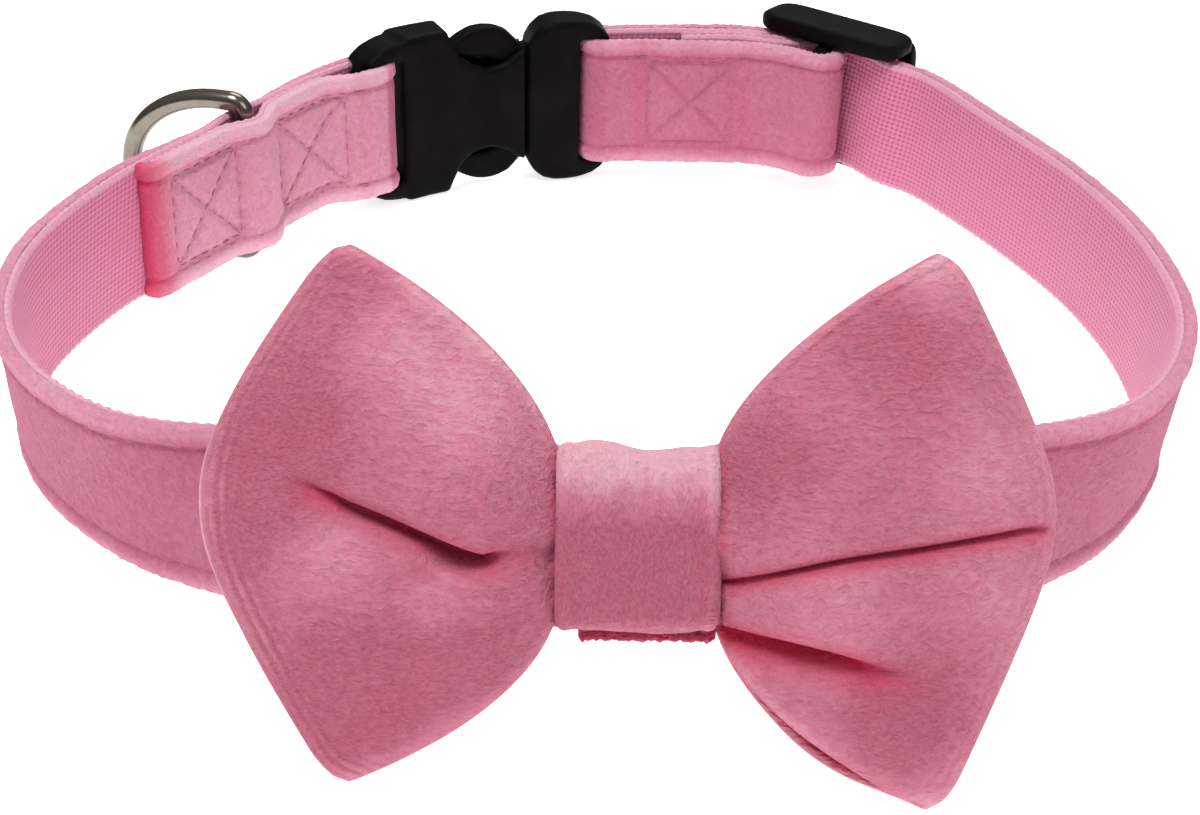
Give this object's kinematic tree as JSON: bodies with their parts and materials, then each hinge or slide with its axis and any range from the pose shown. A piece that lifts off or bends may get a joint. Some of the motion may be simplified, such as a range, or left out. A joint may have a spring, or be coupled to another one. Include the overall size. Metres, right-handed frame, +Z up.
{
  "type": "pet bow tie collar",
  "caption": "Velvet covered webbing collar for a pet, closed with a side release buckle, with slider, D-ring and a gathered velvet bow tie at the front",
  "frame": {"origin": "middle of the bounding box on the table that the collar stands on", "axes": "+Z up, the bow faces -Y, buckle at +Y, D-ring at -X"},
  "size_m": [0.1822, 0.1984, 0.0574],
  "materials": {
    "webbing": "woven nylon webbing, bright pink",
    "velvet": "short pile velvet, dusty pink with pale sheen",
    "plastic": "moulded acetal, black, fine matte texture",
    "steel": "nickel plated steel wire, polished"
  },
  "bodies": {
    "collar": {"collar_webbing": "webbing", "velvet_cover": "velvet", "buckle_female": "plastic", "buckle_male": "plastic", "slider": "plastic", "bow": "velvet", "bow_knot": "velvet", "bow_loop": "velvet"},
    "ring": {"d_ring": "steel"}
  },
  "joints": [
    {"name": "ring_swing", "type": "hinge", "parent": "collar", "child": "ring", "pos_m": [-0.06232, 0.04827, 0.01702], "axis": [0, 0, 1], "range_deg": [-75, 50]}
  ]
}
